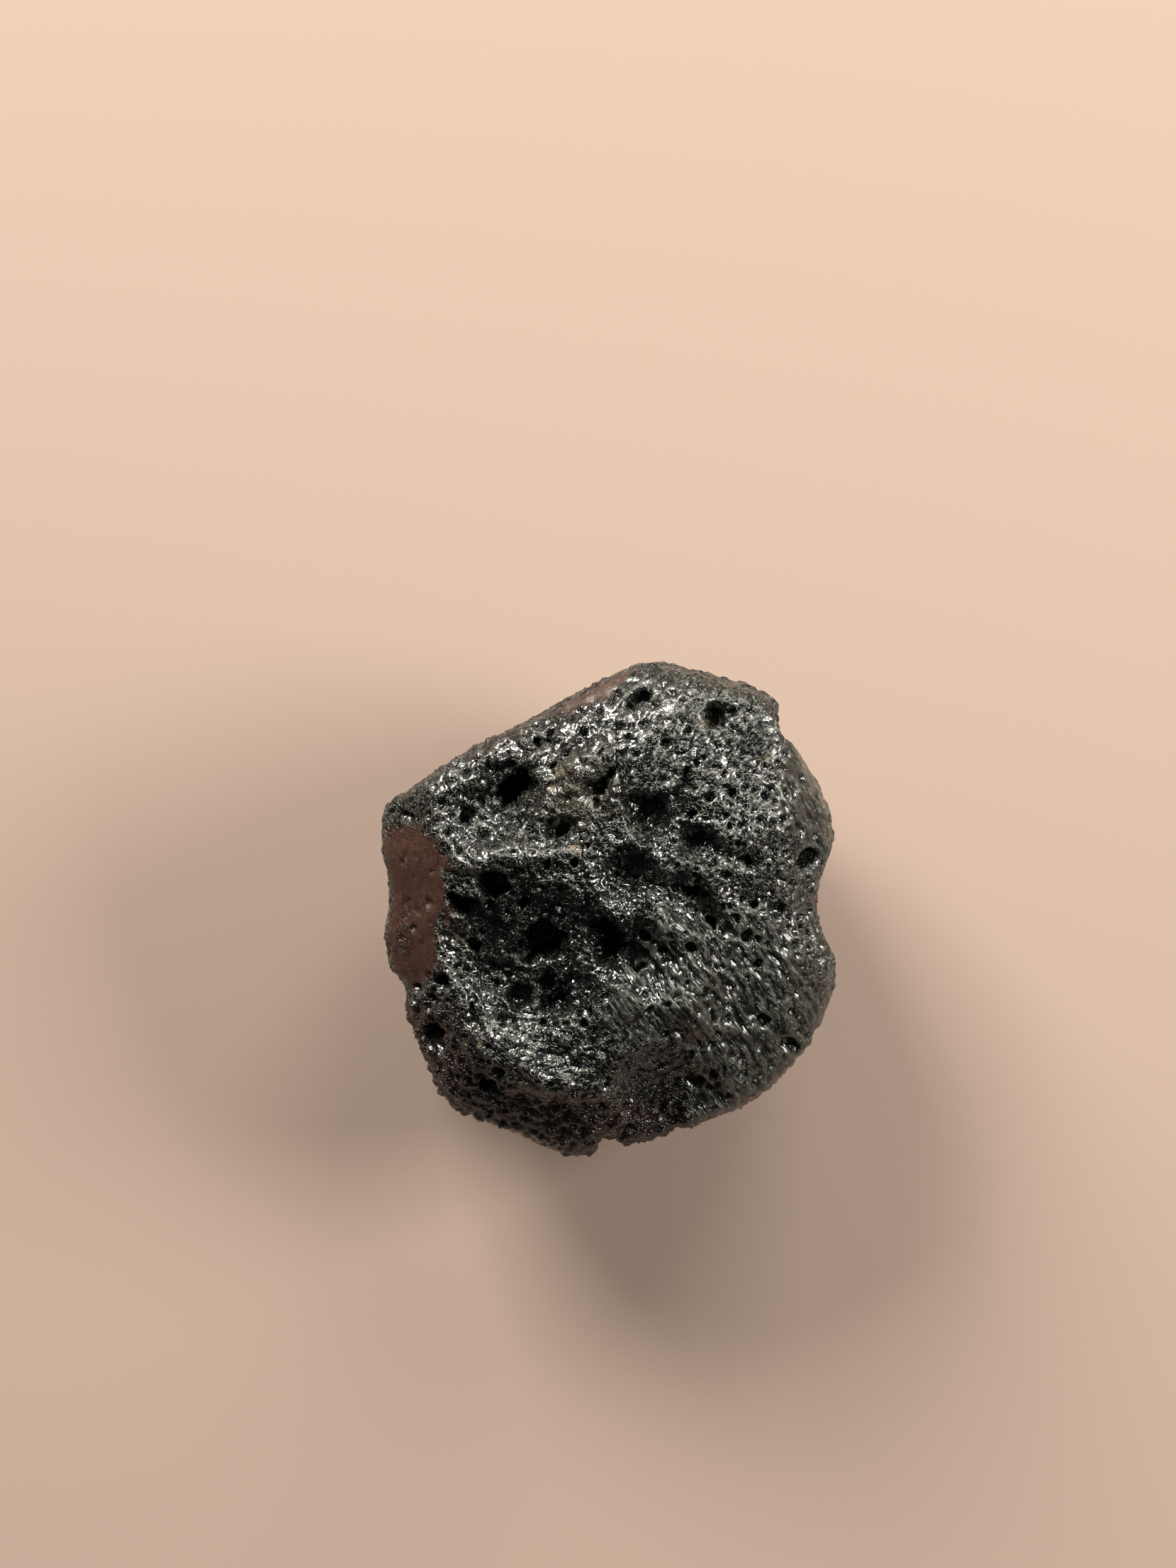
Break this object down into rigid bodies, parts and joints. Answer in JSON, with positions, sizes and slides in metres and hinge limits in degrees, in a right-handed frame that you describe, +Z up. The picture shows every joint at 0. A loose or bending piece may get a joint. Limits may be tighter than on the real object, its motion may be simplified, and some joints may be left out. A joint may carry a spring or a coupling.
{
  "type": "tektite",
  "caption": "Small natural lump of black tektite glass: a broken, etched stone with deep hollows, round pits and one bare flat flank, resting on a flat break.",
  "frame": {"origin": "under the middle of the stone, on the surface it rests on", "axes": "+Z up, +Y along the longest side, -X towards the bare flat flank"},
  "size_m": [0.0139, 0.0152, 0.0104],
  "materials": {
    "tektite_glass": "black natural glass, satin where etched, glossy inside the pits"
  },
  "bodies": {
    "root": {"tektite_stone": "tektite_glass"}
  },
  "joints": []
}
